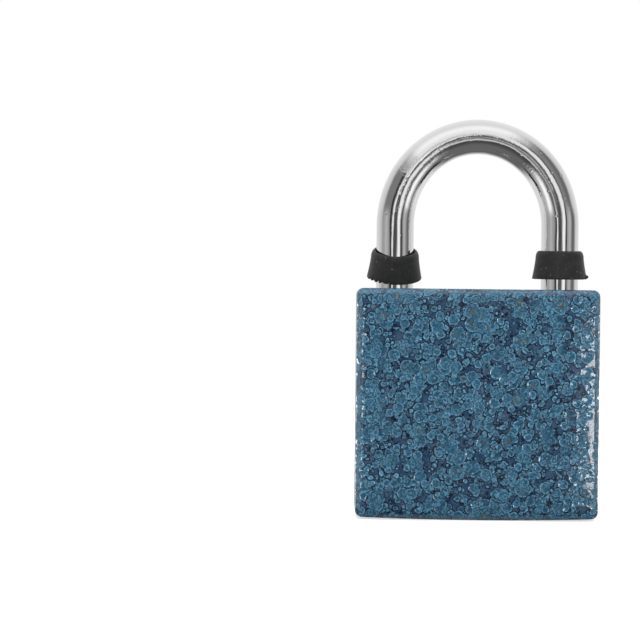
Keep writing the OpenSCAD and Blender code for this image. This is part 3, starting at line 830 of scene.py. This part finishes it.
LEFT_LOW = [(0, .1), (8, .12), (12, .25), (18, .5), (22, .25), (27, .12), (33, .18), (40, .6), (46, .98),
            (58, 1.08), (66, .72), (75, .48), (92, .35), (98, .45), (107, .78), (120, .72), (160, .82)]
ABOVE = [(0, .1), (2, .12), (4, .85), (8, .95), (11, .7), (14, .55), (19, .65), (24, .83), (34, .85),
         (48, .93), (62, 1.02), (76, .92), (88, .8), (100, .77), (125, .83), (160, .9)]
BELOW = [(0, .1), (2, .12), (4, .5), (9, .3), (13, .12), (17, .3), (23, .65), (27, .5), (31, .05), (45, .08),
         (60, .13), (106, .14), (118, .11), (130, .2), (145, .6), (160, .8)]

world = bpy.data.worlds.new("white_room")
bpy.context.scene.world = world
world.use_nodes = True
tree = world.node_tree
tree.nodes.clear()
way = node(tree, "ShaderNodeTexCoord").outputs["Generated"]
room_middle = Vector((0, 0, 28 * MM))
lens_way = (camera.location - room_middle).normalized()
right_way = Vector((0, 0, 1)).cross(lens_way).normalized()
up_way = lens_way.cross(right_way)
toward, rightward, upward = (vector_maths(tree, "DOT_PRODUCT", way, tuple(axis), gives="Value")
                             for axis in (lens_way, right_way, up_way))
away = maths(tree, "DIVIDE", maths(tree, "ARCCOSINE", toward), math.pi)
rise = maths(tree, "DEGREES", maths(tree, "ARCTAN2", upward, maths(tree, "ABSOLUTE", rightward)))


def flags(stops):
    """The brightness at each angle from the lens, as a ramp."""
    return ramp(tree, away, [(angle / 180, grey(light)) for angle, light in stops]).outputs[0]


def split(start, end):
    """0 where the direction rises less than start degrees from level, 1 where more than end degrees."""
    return mapped(tree, rise, start, end, kind="SMOOTHSTEP")


def room_side(low, level, high, ceiling, table):
    """One side of the room, from the table up to the ceiling. The ceiling and the table come in over a
    range of rises, in degrees."""
    walls = mixed(tree, split(-14, -4), flags(low), flags(level))
    walls = mixed(tree, split(5, 14), walls, flags(high))
    walls = mixed(tree, split(*table), flags(BELOW), walls)
    return mixed(tree, split(*ceiling), walls, flags(ABOVE))


room = mixed(tree, maths(tree, "GREATER_THAN", rightward, 0.0),
             room_side(LEFT_LOW, LEFT_LEVEL, LEFT_HIGH, (31, 56), (-52, -30)),
             room_side(RIGHT_LOW, RIGHT_LEVEL, RIGHT_HIGH, (42, 68), (-60, -30)))
mirrored = node(tree, "ShaderNodeBackground", {0: room, 1: 1.0})
white = node(tree, "ShaderNodeBackground", {0: linear("FFFFFF"), 1: 1.0})
soft = node(tree, "ShaderNodeBackground", {0: linear("FFFFFF"), 1: 0.5})
path = node(tree, "ShaderNodeLightPath")
glossy = node(tree, "ShaderNodeMixShader",
              {0: path.outputs["Is Glossy Ray"], 1: soft.outputs[0], 2: mirrored.outputs[0]})
seen = node(tree, "ShaderNodeMixShader",
            {0: path.outputs["Is Camera Ray"], 1: glossy.outputs[0], 2: white.outputs[0]})
node(tree, "ShaderNodeOutputWorld", {0: seen.outputs[0]})


lamp_aim = Vector((0, 0, 30 * MM))


def lamp(name, place, watts, wide, tall, mirrored=False):
    """A rectangular soft lamp aimed at the middle of the lock."""
    data = bpy.data.lights.new(name, "AREA")
    data.shape = "RECTANGLE"
    data.size, data.size_y, data.energy = wide, tall, watts
    made = bpy.data.objects.new(name, data)
    bpy.context.scene.collection.objects.link(made)
    made.location = place
    made.rotation_euler = (Vector(place) - lamp_aim).to_track_quat("Z", "Y").to_euler()
    made.visible_glossy = mirrored
    return made


lamp("front_softbox", (-0.25, -0.75, 0.40), 1.3, 0.6, 0.6)
lamp("back_softbox", (0.25, 0.75, 0.40), 2.6, 0.6, 0.6)
lamp("top_softbox", (0.0, 0.0, 0.80), 2.4, 0.6, 0.6)
painted = bpy.data.collections.new("painted")
painted.objects.link(body_casting)
for glint in (lamp("right_strip", (0.50, -0.50, -0.04), 3.9, 0.44, 0.12, mirrored=True),
              lamp("left_strip", (-0.50, -0.53, -0.04), 1.2, 0.24, 0.07, mirrored=True),
              lamp("back_right_strip", (0.46, 0.56, -0.04), 0.35, 0.20, 0.05, mirrored=True),
              lamp("back_left_strip", (-0.46, 0.56, -0.04), 0.35, 0.20, 0.05, mirrored=True)):
    glint.visible_diffuse = False
    glint.light_linking.receiver_collection = painted

# The polished rod mirrors the studio and the rubber, and not the block or the solids inside it. The
# springs inside aren't hidden from it, and show in the arch as a few specks.
for unmirrored in [body_casting, *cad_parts.values()]:
    unmirrored.visible_glossy = False

bpy.context.scene.view_settings.view_transform = "Standard"
